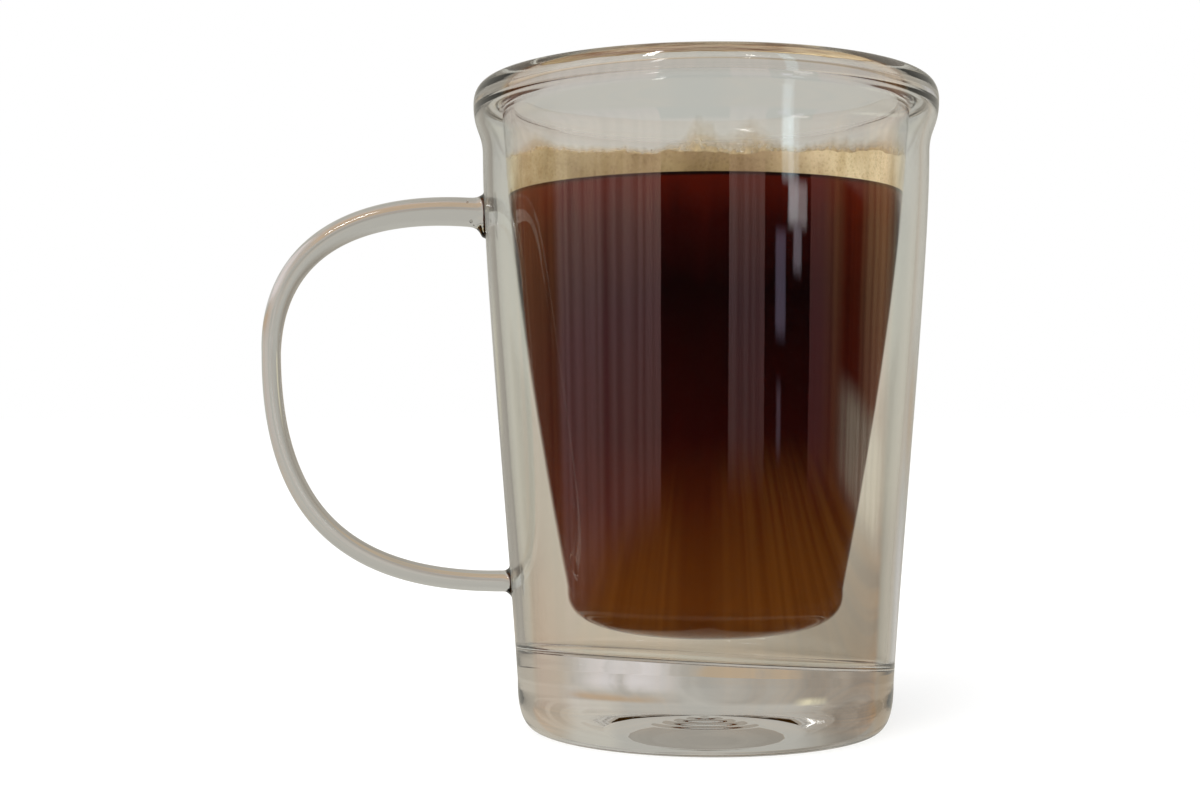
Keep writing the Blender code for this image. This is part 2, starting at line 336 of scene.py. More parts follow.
def outer_wall():
    """The outside of the mug, from the lip's widest place down to the top of the foot's corner."""
    half_flare = (LIP_BASE - FLARE_START) / 2
    waist = (WAIST_RADIUS, FLARE_START)
    foot = (FOOT_TOP_RADIUS, FOOT_TOP)
    flare = curve((LIP_RADIUS, LIP_BASE), (0, -half_flare), (0, half_flare), waist, FLARE_STEPS)
    wall = curve(waist, WALL_HIGH_PULL, WALL_LOW_PULL, foot, WALL_STEPS)
    return flare[:-1] + wall


def lip():
    """Over the lip, from the vessel's inside face to the outer wall."""
    crest = (LIP_CREST_RADIUS, LIP_BASE)
    rise = LIP_HEIGHT - LIP_BASE
    inside_radius = vessel_inside_face()[-1][0]
    inner = oval_corner(crest, inside_radius - LIP_CREST_RADIUS, rise, LIP_ROUNDNESS, LIP_STEPS)
    outer = oval_corner(crest, LIP_RADIUS - LIP_CREST_RADIUS, rise, LIP_ROUNDNESS, LIP_STEPS)
    return inner[1:] + list(reversed(outer))[1:-1]


def foot_underside():
    """Round the foot's corner, over the flat ring and up the shallow dome to the axis."""
    centre = (RING_OUTER_RADIUS, FOOT_TOP)
    width = FOOT_TOP_RADIUS - RING_OUTER_RADIUS
    corner = oval_corner(centre, width, -FOOT_TOP, FOOT_ROUNDNESS, FOOT_CORNER_STEPS)
    dome = []
    for step in range(DOME_STEPS + 1):
        share = 1 - step / DOME_STEPS
        radius = RING_INNER_RADIUS * share
        height = DOME_HEIGHT * (1 - share**2)
        if radius < PUNT_RADIUS:
            height += PUNT_HEIGHT / 2 * (1 + math.cos(math.pi * radius / PUNT_RADIUS))
            height += TURNING_MARK_HEIGHT * math.cos(2 * math.pi * radius / TURNING_MARK_PITCH)
        dome.append((radius, height))
    return corner[1:] + dome


def gap_between_walls():
    """The sealed hollow: over the foot's floor, up inside the outer wall, down the vessel's outside."""
    falling = moved_inward(list(reversed(outer_wall())), WALL)
    rising = [point for point in falling if FOOT_FLOOR + FLOOR_FILLET < point[1] < GAP_TOP]
    vessel = [point for point in vessel_outer_face() if point[1] < GAP_TOP]
    vessel_edge = radius_at(vessel_outer_face(), GAP_TOP)
    wall_edge = rising[-1][0]
    middle = (wall_edge + vessel_edge) / 2
    half = (wall_edge - vessel_edge) / 2
    top = []
    for step in range(GAP_TOP_STEPS + 1):
        turn = math.pi * step / GAP_TOP_STEPS
        top.append((middle + half * math.cos(turn), GAP_TOP + (LIP_BASE - GAP_TOP) * math.sin(turn)))
    floor_radius = radius_at(falling, FOOT_FLOOR + FLOOR_FILLET) - FLOOR_FILLET
    floor = [(floor_radius * step / FLOOR_STEPS, FOOT_FLOOR) for step in range(FLOOR_STEPS + 1)]
    fillet_centre = (floor_radius, FOOT_FLOOR + FLOOR_FILLET)
    fillet = oval_corner(fillet_centre, FLOOR_FILLET, -FLOOR_FILLET, 2.0, FILLET_STEPS)
    return floor + list(reversed(fillet))[1:] + rising + top[1:] + list(reversed(vessel))


def turned_mesh(outline, steps=TURN_STEPS):
    """A closed bmesh turned all the way round the mug's axis from (radius, height) points."""
    shape = bmesh.new()
    vertices = [shape.verts.new((radius, 0, height)) for radius, height in outline]
    for first, second in zip(vertices, vertices[1:]):
        shape.edges.new((first, second))
    line = shape.verts[:] + shape.edges[:]
    bmesh.ops.spin(
        shape, geom=line, cent=(0, 0, 0), axis=(0, 0, 1), angle=2 * math.pi, steps=steps, use_merge=True
    )
    bmesh.ops.remove_doubles(shape, verts=shape.verts[:], dist=SAME_POINT)
    bmesh.ops.recalc_face_normals(shape, faces=shape.faces[:])
    return shape


def lean_the_floor(hollow):
    """Tilts the foot's floor a little, fading out up the wall."""
    for vertex in hollow.verts:
        radius = math.hypot(vertex.co.x, vertex.co.y)
        on_vessel = vertex.co.z > VESSEL_BOTTOM - SAME_POINT and radius < FOOT_TOP_RADIUS - 2 * WALL
        if on_vessel or vertex.co.z > LEAN_FADE_HEIGHT:
            continue
        share = (LEAN_FADE_HEIGHT - vertex.co.z) / (LEAN_FADE_HEIGHT - FOOT_FLOOR)
        vertex.co.z += (FLOOR_LEAN[0] * vertex.co.x + FLOOR_LEAN[1] * vertex.co.y) * share


def handle_line():
    """The rod's centre line in its own plane, from the top root round to the bottom root."""
    bend = (-(HANDLE_REACH - HANDLE_THIN / 2), HANDLE_BEND_HEIGHT)
    upper = curve(HANDLE_TOP_ROOT, HANDLE_TOP_PULL, BEND_PULL_UP, bend, HANDLE_STEPS)
    lower = curve(bend, BEND_PULL_DOWN, HANDLE_BOTTOM_PULL, HANDLE_BOTTOM_ROOT, HANDLE_STEPS)
    return upper[:-1] + lower


def fillet(distance, radius):
    """How far a round fillet stands out from the rod, at a distance from the wall."""
    near = min(max(distance, FILLET_START * radius), radius)
    return radius - math.sqrt(radius**2 - (radius - near) ** 2)


def handle_section(share, point):
    """Thickness and width of the rod, thinnest at the far bend, with a fillet where it meets the wall."""
    if share < 0.5:
        thickness = HANDLE_THIN + (HANDLE_TOP_THICKNESS - HANDLE_THIN) * (1 - 2 * share) ** 0.8
        away = math.dist(point, HANDLE_TOP_ROOT) - HANDLE_TOP_DEPTH
        spread = fillet(away, HANDLE_TOP_FILLET)
    else:
        thickness = HANDLE_THIN + (HANDLE_BOTTOM_THICKNESS - HANDLE_THIN) * (2 * share - 1)
        away = math.dist(point, HANDLE_BOTTOM_ROOT) - HANDLE_BOTTOM_DEPTH
        spread = fillet(away, HANDLE_BOTTOM_FILLET)
    return thickness + 2 * spread, HANDLE_WIDTH


def with_root_rings(line):
    """The centre line with more points on its first and last two stretches, where the fillets are."""
    dense = []
    for index, (first, second) in enumerate(zip(line, line[1:])):
        cuts = ROOT_RINGS if index < 3 or index > len(line) - 5 else 1
        for cut in range(cuts):
            share = cut / cuts
            dense.append(tuple(a + (b - a) * share for a, b in zip(first, second)))
    return dense + [line[-1]]


def handle_mesh():
    """The rod as oval rings joined one to the next along its centre line."""
    shape = bmesh.new()
    line = with_root_rings(handle_line())
    rings = []
    for index, point in enumerate(line):
        before = line[max(index - 1, 0)]
        after = line[min(index + 1, len(line) - 1)]
        lean = math.atan2(after[1] - before[1], after[0] - before[0])
        if index in (0, len(line) - 1):
            lean = math.pi if index == 0 else 0
        thickness, width = handle_section(index / (len(line) - 1), point)
        place = Matrix.Translation((point[0], 0, point[1]))
        place @= Matrix.Rotation(math.pi / 2 - lean, 4, "Y")
        place @= Matrix.Diagonal((thickness / 2, width / 2, 1, 1))
        made = bmesh.ops.create_circle(shape, segments=HANDLE_SIDES, radius=1, matrix=place)
        edges = {edge for vertex in made["verts"] for edge in vertex.link_edges}
        rings.append(list(edges))
    for first, second in zip(rings, rings[1:]):
        bmesh.ops.bridge_loops(shape, edges=first + second)
    bmesh.ops.contextual_create(shape, geom=rings[0])
    bmesh.ops.contextual_create(shape, geom=rings[-1])
    bmesh.ops.recalc_face_normals(shape, faces=shape.faces[:])
    return shape


def refine_joints(shape):
    """A finer net on the wall where the rod's two ends meet it."""
    for root in (HANDLE_TOP_ROOT, HANDLE_BOTTOM_ROOT):
        place = Vector((root[0], 0, root[1]))
        near = [edge for edge in shape.edges if (edge.verts[0].co - place).length < JOINT_REACH]
        bmesh.ops.subdivide_edges(shape, edges=near, cuts=JOINT_CUTS, use_grid_fill=True)


def soften_joints(shape):
    """Melts the creases where the rod's two ends meet the wall."""
    soft = set()
    roots = [Vector((root[0], 0, root[1])) for root in (HANDLE_TOP_ROOT, HANDLE_BOTTOM_ROOT)]
    for edge in shape.edges:
        place = edge.verts[0].co
        at_root = min((place - root).length for root in roots) < JOINT_REACH
        on_wall = math.hypot(place.x, place.y) < WAIST_RADIUS + MM
        if at_root and on_wall and edge.is_manifold and edge.calc_face_angle() > JOINT_CREASE:
            soft.update(edge.verts)
    for _ in range(JOINT_RINGS):
        soft.update([edge.other_vert(vertex) for vertex in list(soft) for edge in vertex.link_edges])
    for _ in range(JOINT_PASSES):
        bmesh.ops.smooth_vert(
            shape, verts=list(soft), factor=0.5, use_axis_x=True, use_axis_y=True, use_axis_z=True
        )


def root_bubbles():
    """Tiny air bubbles caught in the glass where the rod was joined on, as hollows."""
    shape = bmesh.new()
    for x, z, radius in ROOT_BUBBLES:
        place = Matrix.Translation((x * MM, -ROOT_BUBBLE_FORWARD, z * MM))
        place @= Matrix.Diagonal((1, 1, ROOT_BUBBLE_STRETCH, 1))
        bmesh.ops.create_icosphere(shape, subdivisions=3, radius=radius * MM, matrix=place)
    bmesh.ops.reverse_faces(shape, faces=shape.faces[:])
    return shape


def add_piece(name, shape, material, sharp_angle=60):
    """A smooth-shaded object over the mug's axis, with its place in its mesh."""
    bmesh.ops.translate(shape, verts=shape.verts[:], vec=(AXIS_X, 0, 0))
    mesh = bpy.data.meshes.new(name)
    shape.to_mesh(mesh)
    shape.free()
    mesh.shade_smooth()
    mesh.set_sharp_from_angle(angle=math.radians(sharp_angle))
    mesh.materials.append(material)
    piece = bpy.data.objects.new(name, mesh)
    bpy.context.scene.collection.objects.link(piece)
    return piece


def fused(body, rod):
    """The body with the rod joined on, as a bmesh. Both objects are removed."""
    join = body.modifiers.new("Fused", "BOOLEAN")
    join.operation = "UNION"
    join.object = rod
    join.solver = "EXACT"
    depsgraph = bpy.context.evaluated_depsgraph_get()
    shape = bmesh.new()
    shape.from_object(body, depsgraph)
    bpy.data.objects.remove(body, do_unlink=True)
    bpy.data.objects.remove(rod, do_unlink=True)
    bmesh.ops.translate(shape, verts=shape.verts[:], vec=(-AXIS_X, 0, 0))
    return shape


def add_shell(shape, shell):
    """Adds a second closed skin to a bmesh."""
    mesh = bpy.data.meshes.new("skin")
    shell.to_mesh(mesh)
    shell.free()
    shape.from_mesh(mesh)
    bpy.data.meshes.remove(mesh)


def make_mug(glass):
    """Walls, lip, foot and rod as one piece of glass round its sealed hollow."""
    outside = turned_mesh(vessel_inside_face() + lip() + outer_wall() + foot_underside())
    refine_joints(outside)
    body = add_piece("mug_skin", outside, glass)
    rod = add_piece("handle_skin", handle_mesh(), glass)
    shape = fused(body, rod)
    soften_joints(shape)
    hollow = turned_mesh(gap_between_walls())
    lean_the_floor(hollow)
    bmesh.ops.reverse_faces(hollow, faces=hollow.faces[:])
    add_shell(shape, hollow)
    add_shell(shape, root_bubbles())
    mug = add_piece("glass_mug_body", shape, glass)
    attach(mug, "root")
    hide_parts("glass_mug")
    return mug


def make_coffee(material):
    """Coffee up to its level, reaching just into the wall so that no air gap shows."""
    face = moved_inward(vessel_inside_face(), -INTO_WALL)
    below = [point for point in face if point[1] < COFFEE_LEVEL - SAME_POINT]
    edge = (radius_at(face, COFFEE_LEVEL), COFFEE_LEVEL)
    coffee = add_piece("coffee_body", turned_mesh(below + [edge, (0, COFFEE_LEVEL)]), material)
    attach(coffee, "root")
    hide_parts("coffee")
    return coffee


def round_axis(angle, radius, height=0):
    """A place at an angle round the mug's axis."""
    return Vector((radius * math.cos(angle), radius * math.sin(angle), height))


def lumpiness(place, layers, apart):
    """Unevenness at a place, from coarse to fine."""
    height = 0.0
    for index, (size, rise) in enumerate(layers):
        height += noise.noise((place + Vector((0, 0, index * apart))) / size) * rise
    return height


def crema_thickness(angle, radius, edge_radius):
    """Thin in the middle and at the front, climbing the wall at both sides with a ragged edge."""
    side = abs(math.cos(angle)) ** 1.5
    at_wall = CREMA_FRONT + CREMA_SIDE_RISE * side
    at_wall += lumpiness(round_axis(angle, edge_radius), EDGE_LUMPS, LUMP_LAYERS_APART)
    lumps = lumpiness(round_axis(angle, radius), TOP_LUMPS, 0)
    climb = math.exp(-(edge_radius - radius) / CREMA_FADE)
    return CREMA_MIDDLE + lumps + (at_wall - CREMA_MIDDLE) * climb


def make_crema(material):
    """Foam over the coffee, its edge following the glass."""
    face = moved_inward(vessel_inside_face(), -INTO_WALL)
    base = COFFEE_LEVEL
    edge_radius = radius_at(face, base)
    outline = [(0, base), (edge_radius, base)]
    for step in range(CREMA_RING_STEPS + 1):
        share = 1 - (step / CREMA_RING_STEPS) ** 1.5
        outline.append((edge_radius * share, base + CREMA_FRONT))
    shape = turned_mesh(outline, CREMA_TURN_STEPS)
    for vertex in shape.verts:
        if vertex.co.z < base + SAME_POINT:
            continue
        radius = math.hypot(vertex.co.x, vertex.co.y)
        angle = math.atan2(vertex.co.y, vertex.co.x)
        vertex.co.z = base + crema_thickness(angle, radius, edge_radius)
        if radius > edge_radius - SAME_POINT:
            spread = radius_at(face, vertex.co.z) / radius
            vertex.co.x *= spread
            vertex.co.y *= spread
    crema = add_piece("crema_body", shape, material)
    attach(crema, "root")
    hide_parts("crema")
    return crema


def sight_at(column, radius):
    """Angles of a column of the photograph: the line of sight, and the place round a round face it meets."""
    sight = math.atan((column - IMAGE_WIDTH / 2) / (PIXELS_PER_MM / MM * CAMERA_DISTANCE))
    aside = (AXIS_COLUMN - IMAGE_WIDTH / 2) / PIXELS_PER_MM * MM
    miss = CAMERA_DISTANCE * math.sin(sight) - aside * math.cos(sight)
    facing = math.asin(max(min(miss / radius, 0.99), -0.99)) - sight
    return sight, facing


def column_angle(column):
    """The angle round the mug of the near inside wall seen at a column of the photograph."""
    return sight_at(column, VESSEL_TOP_RADIUS)[1] - math.pi / 2


def film_reach(angle):
    """How high above the crema the film climbs at an angle round the mug."""
    place = round_axis(angle, 1)
    reach = FILM_LEAST
    for closeness, height in FILM_WAVES:
        reach += height * noise.noise(place * closeness)
    if math.sin(angle) > 0:
        reach += FILM_FAR_RISE * max(noise.noise(place * 4), 0)
    for column, half_width, height in FILM_PATCHES:
        middle = column_angle(column)
        half = abs(column_angle(column + half_width) - middle)
        away = (angle - middle) / half
        reach += height * MM * math.exp(-(away**2)) * (1 + 0.25 * noise.noise(place * 25))
    return max(reach, 0.5 * MM)


def make_film(material):
    """A thin skin of foam on the inside of the glass. Its share says how near its ragged top it is."""
    face = moved_inward(vessel_inside_face(), -INTO_WALL)
    edge_radius = radius_at(face, COFFEE_LEVEL)
    low = COFFEE_LEVEL + CREMA_FRONT - FILM_BELOW
    heights = [low + FILM_HEIGHT * step / FILM_RISE_STEPS for step in range(FILM_RISE_STEPS + 1)]
    outer = [(radius_at(face, height) - FILM_BEHIND, height) for height in heights]
    inner = [(radius - INTO_WALL - FILM_THICKNESS, height) for radius, height in outer]
    shape = turned_mesh(outer + list(reversed(inner)) + outer[:1], FILM_TURN_STEPS)
    share = shape.verts.layers.float.new("share")
    for vertex in shape.verts:
        angle = math.atan2(vertex.co.y, vertex.co.x)
        crema_top = COFFEE_LEVEL + crema_thickness(angle, edge_radius, edge_radius)
        rise = vertex.co.z - low
        new_height = crema_top - FILM_BELOW + rise
        was = radius_at(face, vertex.co.z)
        spread = (radius_at(face, new_height) - was) / was
        vertex[share] = (rise - FILM_BELOW) / film_reach(angle)
        vertex.co.x *= 1 + spread
        vertex.co.y *= 1 + spread
        vertex.co.z = new_height
    film = add_piece("foam_film", shape, material)
    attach(film, "root")
    return film


def add_bubble(shape, place, radius, flatness=1.0):
    """A ball, with a finer net where it is large."""
    matrix = Matrix.Translation(place) @ Matrix.Diagonal((radius, radius, radius * flatness, 1))
    fineness = 2 if radius > LARGE_BUBBLE else 1
    bmesh.ops.create_icosphere(shape, subdivisions=fineness, radius=1, matrix=matrix)


def make_bubbles(material):
    """Bubbles crowded along the glass, with a few rafts of them out on the crema."""
    draw = random.Random(CREMA_SEED)
    face = moved_inward(vessel_inside_face(), -INTO_WALL)
    edge_radius = radius_at(face, COFFEE_LEVEL)
    shape = bmesh.new()
    for _ in range(RIM_BUBBLES):
        angle = draw.uniform(0, 2 * math.pi)
        size = RIM_BUBBLE_RADIUS[0] + RIM_BUBBLE_RADIUS[1] * draw.random() ** 3
        top = COFFEE_LEVEL + crema_thickness(angle, edge_radius, edge_radius)
        height = top + draw.gauss(0.1, 0.5) * MM
        radius = radius_at(face, height) - INTO_WALL - 0.75 * size
        add_bubble(shape, round_axis(angle, radius, height), size)
    rafts = [(draw.uniform(0, 2 * math.pi), draw.uniform(0.35, 0.93)) for _ in range(RAFTS)]
    for index in range(TOP_BUBBLES):
        angle, share = rafts[index % len(rafts)]
        angle += draw.gauss(0, 0.16)
        radius = edge_radius * min(share + draw.gauss(0, 0.05), 0.95)
        size = TOP_BUBBLE_RADIUS[0] + TOP_BUBBLE_RADIUS[1] * draw.random() ** 3
        height = COFFEE_LEVEL + crema_thickness(angle, radius, edge_radius) + 0.15 * size
        add_bubble(shape, round_axis(angle, radius, height), size, TOP_BUBBLE_FLATNESS)
    bubbles = add_piece("crema_bubbles", shape, material)
    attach(bubbles, "root")
    return bubbles


def add_node(tree, kind, **settings):
    """A new shader node with its settings."""
    node = tree.nodes.new("ShaderNode" + kind)
    for name, value in settings.items():
        setattr(node, name, value)
    return node


def set_inputs(node, values):
    """Sets inputs of a node by their names."""
    for name, value in values.items():
        node.inputs[name].default_value = value


def math_node(tree, operation, *values):
    """A Math node fed by numbers or sockets."""
    node = add_node(tree, "Math", operation=operation)
    for socket, value in zip(node.inputs, values):
        if isinstance(value, (int, float)):
            socket.default_value = value
        else:
            tree.links.new(value, socket)
    return node.outputs[0]


def both(tree, first, second):
    """The product of two values: one where both are one."""
    return math_node(tree, "MULTIPLY", first, second)


def grey(level):
    """A colour without a tint."""
    return (level, level, level)


def colour_mix(tree, share, first, second, blend="MIX"):
    """A colour Mix node. The colours are tuples or sockets, and the share a number or a socket."""
    node = add_node(tree, "Mix", data_type="RGBA", blend_type=blend)
    for socket, value in zip((node.inputs[0], node.inputs[6], node.inputs[7]), (share, first, second)):
        if isinstance(value, bpy.types.NodeSocket):
            tree.links.new(value, socket)
        elif isinstance(value, tuple):
            socket.default_value = (*value, 1)
        else:
            socket.default_value = value
    return node.outputs[2]


def ramp(tree, value, stops):
    """A colour ramp over (place, colour) stops."""
    node = add_node(tree, "ValToRGB")
    elements = node.color_ramp.elements
    while len(elements) < len(stops):
        elements.new(1.0)
    for element, (place, colour) in zip(elements, stops):
        element.position = place
        element.color = (*colour, 1)
    tree.links.new(value, node.inputs[0])
    return node.outputs[0]


def grain(tree, scale, stretch=(1, 1, 1), detail=4.0, kind="TexNoise"):
    """A noise pattern on Object coordinates, per metre, stretched along the axes."""
    coordinates = add_node(tree, "TexCoord")
    mapping = add_node(tree, "Mapping")
    set_inputs(mapping, {"Scale": stretch})
    texture = add_node(tree, kind)
    set_inputs(texture, {"Scale": scale})
    if kind == "TexNoise":
        texture.inputs["Detail"].default_value = detail
    tree.links.new(coordinates.outputs["Object"], mapping.inputs["Vector"])
    tree.links.new(mapping.outputs[0], texture.inputs["Vector"])
    return texture.outputs[0]


def parts_of(tree, socket):
    """The X, Y and Z of a vector."""
    parts = add_node(tree, "SeparateXYZ")
    tree.links.new(socket, parts.inputs[0])
    return parts.outputs["X"], parts.outputs["Y"], parts.outputs["Z"]


def bump(tree, height, distance, strength, shader):
    """Fine relief on the shader."""
    node = add_node(tree, "Bump")
    set_inputs(node, {"Distance": distance, "Strength": strength})
    tree.links.new(height, node.inputs["Height"])
    tree.links.new(node.outputs[0], shader.inputs["Normal"])


def new_material(name):
    """A material with its node tree and its shader."""
    material = bpy.data.materials.new(name)
    material.use_nodes = True
    tree = material.node_tree
    return material, tree, tree.nodes["Principled BSDF"]


def see_through(tree, shader, cover, tint=(1, 1, 1)):
    """Lets what is behind show, tinted, as much as the cover leaves."""
    clear = add_node(tree, "BsdfTransparent")
    set_inputs(clear, {"Color": (*tint, 1)})
    mix = add_node(tree, "MixShader")
    tree.links.new(cover, mix.inputs[0])
    tree.links.new(clear.outputs[0], mix.inputs[1])
    tree.links.new(shader.outputs[0], mix.inputs[2])
    tree.links.new(mix.outputs[0], tree.nodes["Material Output"].inputs["Surface"])


def clear_glass():
    """Clear glass, faintly uneven as blown. Lamp and soft light pass straight through."""
    material, tree, shader = new_material("clear_glass")
    set_inputs(shader, {
        "Base Color": (0.985, 0.982, 0.970, 1),
        "Roughness": 0.0,
        "Transmission Weight": 1.0,
        "IOR": 1.47,
    })
    waves = grain(tree, 70, (1, 1, 0.35), detail=1.0)
    bump(tree, waves, 0.00012, 0.25, shader)
    path = add_node(tree, "LightPath")
    straight = math_node(tree, "MAXIMUM", path.outputs["Is Shadow Ray"], path.outputs["Is Diffuse Ray"])
    see_through(tree, shader, math_node(tree, "SUBTRACT", 1, straight), (0.95, 0.95, 0.94))
    return material


def black_coffee():
    """Painted light and shade: nearly black in the middle, red-brown under the crema and warm brown low
    down, where light glowing through the coffee would show.
    """
    material, tree, shader = new_material("black_coffee")
    coordinates = add_node(tree, "TexCoord")
    height = parts_of(tree, coordinates.outputs["Object"])[2]
    depth = coffee_high.z - coffee_low.z
    share = math_node(tree, "SUBTRACT", height, coffee_low.z)
    share = math_node(tree, "DIVIDE", share, depth)
    # Painted glow: the colour by height stands in for light shining through the coffee near the crema and
    # low down, and upright streaks sway it.
    streaks = grain(tree, 260, (1, 1, 0.06), detail=3.0)
    painted_glow_sway = math_node(tree, "MULTIPLY_ADD", streaks, 0.12, -0.06)
    painted_glow_height = math_node(tree, "ADD", share, painted_glow_sway)
    colour = ramp(tree, painted_glow_height, (
        (0.00, (0.088, 0.022, 0.0020)),
        (0.15, (0.068, 0.015, 0.0012)),
        (0.29, (0.038, 0.0045, 0.0008)),
        (0.45, (0.016, 0.0010, 0.0004)),
        (0.76, (0.004, 0.0003, 0.0002)),
        (0.90, (0.018, 0.0012, 0.0005)),
        (0.99, (0.055, 0.0040, 0.0010)),
    ))
    # Painted shade: a thin darker line in the coffee just under the crema.
    painted_shade_under_crema = soft_step(tree, share, 0.990, 0.996)
    colour = colour_mix(tree, painted_shade_under_crema, colour, (0.004, 0.0008, 0.0004))
    tree.links.new(colour, shader.inputs["Base Color"])
    set_inputs(shader, {"Roughness": 0.25, "Specular IOR Level": 0.05, "IOR": 1.34})
    return material


def crema_foam():
    """Fine foam with brown swirls of coffee where it thins on top; painted light and shade make it paler to
    the right and at the left, darker in the middle.
    """
    material, tree, shader = new_material("crema")
    coordinates = add_node(tree, "TexCoord")
    x, y, _ = parts_of(tree, coordinates.outputs["Object"])
    across = math_node(tree, "SUBTRACT", x, AXIS_X)
    along = math_node(tree, "DIVIDE", across, VESSEL_TOP_RADIUS)
    round_share = math_node(tree, "MULTIPLY_ADD", along, 0.5, 0.5)
    # Painted light and shade across the crema's face: darkest in the middle, paler at the left and palest to
    # the right.
    painted_side_light = ramp(tree, round_share, (
        (0.05, (0.42, 0.35, 0.205)),
        (0.20, (0.25, 0.19, 0.088)),
        (0.36, (0.29, 0.21, 0.100)),
        (0.45, (0.22, 0.145, 0.058)),
        (0.54, (0.23, 0.15, 0.062)),
        (0.66, (0.41, 0.30, 0.165)),
        (0.80, (0.70, 0.58, 0.350)),
        (0.95, (0.58, 0.48, 0.310)),
    ))
    cells = grain(tree, 1500, kind="TexVoronoi")
    patches = grain(tree, 210, (1, 1, 0.55), detail=5.0)
    mottle = ramp(tree, patches, (
        (0.34, (0.76, 0.72, 0.64)),
        (0.52, grey(1)),
        (0.72, (1.18, 1.20, 1.24)),
    ))
    rims = ramp(tree, cells, ((0.10, (0.80, 0.76, 0.68)), (0.50, grey(1.06))))
    colour = colour_mix(tree, 1.0, painted_side_light, mottle, "MULTIPLY")
    colour = colour_mix(tree, 0.8, colour, rims, "MULTIPLY")
    squared = math_node(tree, "ADD", both(tree, across, across), both(tree, y, y))
    radius = math_node(tree, "SQRT", squared)
    outward = math_node(tree, "DIVIDE", radius, VESSEL_TOP_RADIUS)
    open_top = ramp(tree, outward, ((0.70, grey(1)), (0.90, grey(0))))
    swirls = ramp(tree, grain(tree, 75, detail=6.0), ((0.46, grey(0)), (0.62, grey(1))))
    thin = colour_mix(tree, 1.0, open_top, swirls, "MULTIPLY")
    pale = colour_mix(tree, both(tree, open_top, 0.7), colour, (0.34, 0.28, 0.20))
    colour = colour_mix(tree, thin, pale, (0.13, 0.065, 0.028))
    tree.links.new(colour, shader.inputs["Base Color"])
    set_inputs(shader, {"Roughness": 0.5, "Specular IOR Level": 0.3})
    bump(tree, cells, 0.0002, 0.5, shader)
    return material


def foam_film():
    """Foam so thin that the glass shows through it, breaking up into specks towards its top."""
    material, tree, shader = new_material("foam_film")
    mottle = grain(tree, 600, (1, 1, 0.5), detail=3.0)
    tone = ramp(tree, mottle, ((0.35, (0.38, 0.28, 0.13)), (0.65, (0.52, 0.40, 0.22))))
    tree.links.new(tone, shader.inputs["Base Color"])
    set_inputs(shader, {"Roughness": 0.6, "Specular IOR Level": 0.2})
    share = add_node(tree, "Attribute", attribute_name="share")
    fade = ramp(tree, share.outputs["Fac"], (
        (0.0, grey(0.85)),
        (0.25, grey(0.46)),
        (0.60, grey(0.17)),
        (1.0, grey(0)),
    ))
    specks = grain(tree, 1300, (1, 1, 0.8), detail=3.0)
    specks = ramp(tree, specks, ((0.38, grey(0.6)), (0.62, grey(1.2))))
    cover = colour_mix(tree, 1.0, fade, specks, "MULTIPLY")
    see_through(tree, shader, cover)
    return material


def bubble_skin():
    """Clear-skinned bubbles: pale where they are seen edge on, glossy all over."""
    material, tree, shader = new_material("bubble_skin")
    mottle = grain(tree, 700, detail=2.0)
    tone = ramp(tree, mottle, ((0.35, (0.42, 0.31, 0.17)), (0.65, (0.72, 0.60, 0.40))))
    tree.links.new(tone, shader.inputs["Base Color"])
    set_inputs(shader, {"Roughness": 0.06, "Specular IOR Level": 0.8})
    edge = add_node(tree, "LayerWeight")
    set_inputs(edge, {"Blend": 0.35})
    cover = math_node(tree, "MULTIPLY_ADD", edge.outputs["Facing"], 0.55, 0.30)
    see_through(tree, shader, cover)
    return material


def make_floor():
    """A plain pale floor that rays through the glass don't meet."""
    shape = bmesh.new()
    bmesh.ops.create_grid(shape, x_segments=1, y_segments=1, size=FLOOR_REACH)
    mesh = bpy.data.meshes.new("floor")
    shape.to_mesh(mesh)
    shape.free()
    floor = bpy.data.objects.new("floor", mesh)
    material, tree, shader = new_material("floor")
    set_inputs(shader, {
        "Base Color": (*FLOOR_COLOUR, 1),
        "Emission Color": (*STUDIO_WHITE, 1),
        "Emission Strength": FLOOR_GLOW,
        "Roughness": 1.0,
        "Specular IOR Level": 0.0,
    })
    mesh.materials.append(material)
    floor.visible_glossy = False
    floor.visible_transmission = False
    bpy.context.scene.collection.objects.link(floor)


def mirrored_at(column, radius=WAIST_RADIUS):
    """Degrees round from the front of what a round face mirrors at a column of the photograph."""
    sight, facing = sight_at(column, radius)
    return math.degrees(2 * facing + sight)


def place_on_circle(degrees):
    """A compass direction as a place from 0 to 1 on a ramp, with the front in the middle."""
    return degrees / 360 + 0.5


def place_on_rise(degrees):
    """An elevation as a place from 0 to 1 on a ramp, with the horizon in the middle."""
    return degrees / 180 + 0.5


def rise_ramp(tree, rise_place, stops):
    """A colour ramp over (elevation in degrees, colour) stops."""
    return ramp(tree, rise_place, [(place_on_rise(degrees), colour) for degrees, colour in stops])


def streaks_along(tree, value, scale, detail):
    """Noise that changes along one value only."""
    streaks = add_node(tree, "TexNoise", noise_dimensions="1D")
    set_inputs(streaks, {"Scale": scale, "Detail": detail})
    tree.links.new(value, streaks.inputs["W"])
    return streaks.outputs[0]


def soft_step(tree, value, start, end):
    """Rises smoothly from nought to one as the value goes from start to end."""
    node = add_node(tree, "MapRange", interpolation_type="SMOOTHSTEP")
    tree.links.new(value, node.inputs["Value"])
    set_inputs(node, {"From Min": start, "From Max": end})
    return node.outputs[0]


def between(tree, value, start, end, soft):
    """One between two places and nought outside, with soft edges."""
    rises = soft_step(tree, value, start - soft / 2, start + soft / 2)
    falls = soft_step(tree, value, end + soft / 2, end - soft / 2)
    return both(tree, rises, falls)


def between_rises(tree, rise_place, low, high, soft):
    """One between two elevations, soft over some degrees."""
    return between(tree, rise_place, place_on_rise(low), place_on_rise(high), soft / 180)


